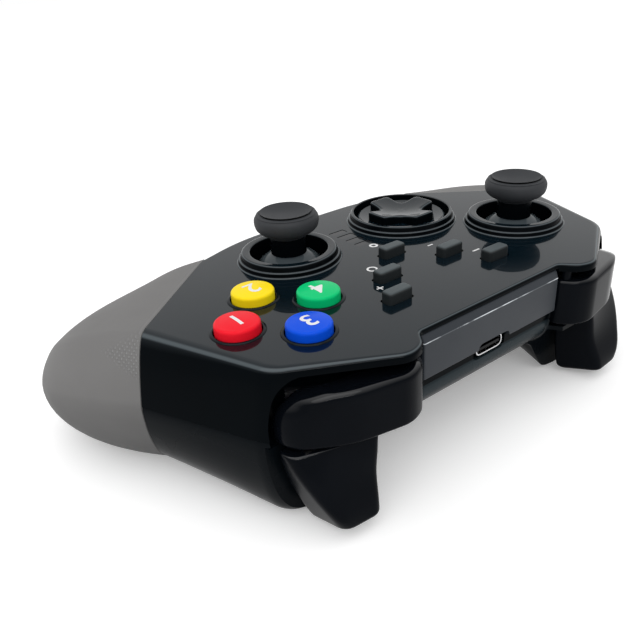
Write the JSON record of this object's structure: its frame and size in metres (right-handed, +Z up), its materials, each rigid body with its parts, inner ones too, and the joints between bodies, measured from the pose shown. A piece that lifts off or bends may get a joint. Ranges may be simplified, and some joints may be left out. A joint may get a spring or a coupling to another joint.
{
  "type": "gamepad",
  "caption": "Two-handed gamepad with thumb sticks, direction pad, coloured face buttons, bumpers, triggers, a charging socket and grey grips.",
  "frame": {"origin": "On the table under the middle of the controller: halfway between the grip tips and the trigger fronts, on the plane of symmetry of the shell.", "axes": "+X to the player's right, +Y to the shoulder buttons and the charging socket, +Z up out of the button face."},
  "size_m": [0.166, 0.0906, 0.0511],
  "materials": {
    "gloss_black": "polished",
    "shell_black": "polished",
    "plate_grey": "satin",
    "grip_grey": "fine texture",
    "button_red": "semi gloss",
    "button_yellow": "semi gloss",
    "button_blue": "semi gloss",
    "button_green": "semi gloss",
    "slate_rubber": "matte",
    "cap_rubber": "matte",
    "dark_plastic": "matte",
    "board_green": "coated",
    "battery_grey": "foil",
    "lamp_clear": "clear",
    "steel": "plain"
  },
  "bodies": {
    "body": {"top_shell": "gloss_black", "bottom_shell": "shell_black", "front_plate": "plate_grey", "right_grip": "grip_grey", "left_grip": "grip_grey", "pad_seat": "dark_plastic", "right_stick_housing": "steel", "left_stick_housing": "steel", "bumper_pins": "steel", "bumper_switches": "steel", "trigger_pins": "steel", "right_trigger_spring": "steel", "left_trigger_spring": "steel", "circuit_board": "board_green", "battery": "battery_grey", "charging_socket": "steel", "lamp_window": "lamp_clear", "button_membrane": "slate_rubber", "pad_membrane": "slate_rubber", "centre_membrane": "slate_rubber", "right_motor": "steel", "left_motor": "steel", "case_screws": "steel", "board_screws": "steel"},
    "east_button_body": {"east_button": "button_red"},
    "south_button_body": {"south_button": "button_yellow"},
    "north_button_body": {"north_button": "button_blue"},
    "west_button_body": {"west_button": "button_green"},
    "plus_button_body": {"plus_button": "slate_rubber"},
    "minus_button_body": {"minus_button": "slate_rubber"},
    "home_button_body": {"home_button": "slate_rubber"},
    "turbo_button_body": {"turbo_button": "slate_rubber"},
    "capture_button_body": {"capture_button": "slate_rubber"},
    "pad_rocker_body": {"pad_rocker": "steel"},
    "direction_pad_body": {"direction_pad": "gloss_black"},
    "right_stick_yoke_body": {"right_stick_yoke": "dark_plastic"},
    "right_stick_rocker_body": {"right_stick_rocker": "steel"},
    "right_stick_body": {"right_stick_post": "gloss_black", "right_stick_cap": "cap_rubber"},
    "left_stick_yoke_body": {"left_stick_yoke": "dark_plastic"},
    "left_stick_rocker_body": {"left_stick_rocker": "steel"},
    "left_stick_body": {"left_stick_post": "gloss_black", "left_stick_cap": "cap_rubber"},
    "right_bumper_body": {"right_bumper": "gloss_black"},
    "left_bumper_body": {"left_bumper": "gloss_black"},
    "right_trigger_body": {"right_trigger": "gloss_black"},
    "left_trigger_body": {"left_trigger": "gloss_black"},
    "right_weight_body": {"right_weight": "steel"},
    "left_weight_body": {"left_weight": "steel"}
  },
  "joints": [
    {"name": "east_button_press", "type": "slide", "parent": "body", "child": "east_button_body", "axis": [0, 0, -1], "range_m": [0, 0.0014], "stiffness_N_per_m": 700},
    {"name": "south_button_press", "type": "slide", "parent": "body", "child": "south_button_body", "axis": [0, 0, -1], "range_m": [0, 0.0014], "stiffness_N_per_m": 700},
    {"name": "north_button_press", "type": "slide", "parent": "body", "child": "north_button_body", "axis": [0, 0, -1], "range_m": [0, 0.0014], "stiffness_N_per_m": 700},
    {"name": "west_button_press", "type": "slide", "parent": "body", "child": "west_button_body", "axis": [0, 0, -1], "range_m": [0, 0.0014], "stiffness_N_per_m": 700},
    {"name": "plus_button_press", "type": "slide", "parent": "body", "child": "plus_button_body", "axis": [0, 0, -1], "range_m": [0, 0.0008], "stiffness_N_per_m": 700},
    {"name": "minus_button_press", "type": "slide", "parent": "body", "child": "minus_button_body", "axis": [0, 0, -1], "range_m": [0, 0.0008], "stiffness_N_per_m": 700},
    {"name": "home_button_press", "type": "slide", "parent": "body", "child": "home_button_body", "axis": [0, 0, -1], "range_m": [0, 0.0008], "stiffness_N_per_m": 700},
    {"name": "turbo_button_press", "type": "slide", "parent": "body", "child": "turbo_button_body", "axis": [0, 0, -1], "range_m": [0, 0.0008], "stiffness_N_per_m": 700},
    {"name": "capture_button_press", "type": "slide", "parent": "body", "child": "capture_button_body", "axis": [0, 0, -1], "range_m": [0, 0.0008], "stiffness_N_per_m": 700},
    {"name": "pad_rocker_tilt", "type": "hinge", "parent": "body", "child": "pad_rocker_body", "pos_m": [-0.0198, -0.01054, 0.032], "axis": [1, 0, 0], "range_deg": [-4, 4], "stiffness_Nm_per_rad": 0.2},
    {"name": "direction_pad_tilt", "type": "hinge", "parent": "pad_rocker_body", "child": "direction_pad_body", "pos_m": [-0.0198, -0.01054, 0.032], "axis": [0, 1, 0], "range_deg": [-4, 4], "stiffness_Nm_per_rad": 0.2},
    {"name": "right_stick_yoke_tilt", "type": "hinge", "parent": "body", "child": "right_stick_yoke_body", "pos_m": [0.0198, -0.01054, 0.0301], "axis": [1, 0, 0], "range_deg": [-16, 16], "stiffness_Nm_per_rad": 0.06},
    {"name": "right_stick_rocker_tilt", "type": "hinge", "parent": "right_stick_yoke_body", "child": "right_stick_rocker_body", "pos_m": [0.0198, -0.01054, 0.0301], "axis": [0, 1, 0], "range_deg": [-16, 16], "stiffness_Nm_per_rad": 0.06},
    {"name": "right_stick_press", "type": "slide", "parent": "right_stick_rocker_body", "child": "right_stick_body", "axis": [0, 0, -1], "range_m": [0, 0.0005], "stiffness_N_per_m": 3000},
    {"name": "left_stick_yoke_tilt", "type": "hinge", "parent": "body", "child": "left_stick_yoke_body", "pos_m": [-0.0396, 0.01356, 0.0301], "axis": [1, 0, 0], "range_deg": [-16, 16], "stiffness_Nm_per_rad": 0.06},
    {"name": "left_stick_rocker_tilt", "type": "hinge", "parent": "left_stick_yoke_body", "child": "left_stick_rocker_body", "pos_m": [-0.0396, 0.01356, 0.0301], "axis": [0, 1, 0], "range_deg": [-16, 16], "stiffness_Nm_per_rad": 0.06},
    {"name": "left_stick_press", "type": "slide", "parent": "left_stick_rocker_body", "child": "left_stick_body", "axis": [0, 0, -1], "range_m": [0, 0.0005], "stiffness_N_per_m": 3000},
    {"name": "right_bumper_swing", "type": "hinge", "parent": "body", "child": "right_bumper_body", "pos_m": [0.0262, 0.04016, 0.0281], "axis": [0, 0, -1], "range_deg": [0, 3], "stiffness_Nm_per_rad": 0.7},
    {"name": "left_bumper_swing", "type": "hinge", "parent": "body", "child": "left_bumper_body", "pos_m": [-0.0262, 0.04016, 0.0281], "axis": [0, 0, 1], "range_deg": [0, 3], "stiffness_Nm_per_rad": 0.7},
    {"name": "right_trigger_swing", "type": "hinge", "parent": "body", "child": "right_trigger_body", "pos_m": [0.046, 0.03536, 0.019], "axis": [-1, 0, 0], "range_deg": [0, 9], "stiffness_Nm_per_rad": 0.14},
    {"name": "left_trigger_swing", "type": "hinge", "parent": "body", "child": "left_trigger_body", "pos_m": [-0.046, 0.03536, 0.019], "axis": [-1, 0, 0], "range_deg": [0, 9], "stiffness_Nm_per_rad": 0.14},
    {"name": "right_weight_spin", "type": "hinge", "parent": "body", "child": "right_weight_body", "pos_m": [0.06051, -0.01952, 0.0193], "axis": [0.7501, 0.6613, 0], "continuous": true},
    {"name": "left_weight_spin", "type": "hinge", "parent": "body", "child": "left_weight_body", "pos_m": [-0.06051, -0.01952, 0.0193], "axis": [-0.7501, 0.6613, 0], "continuous": true}
  ]
}
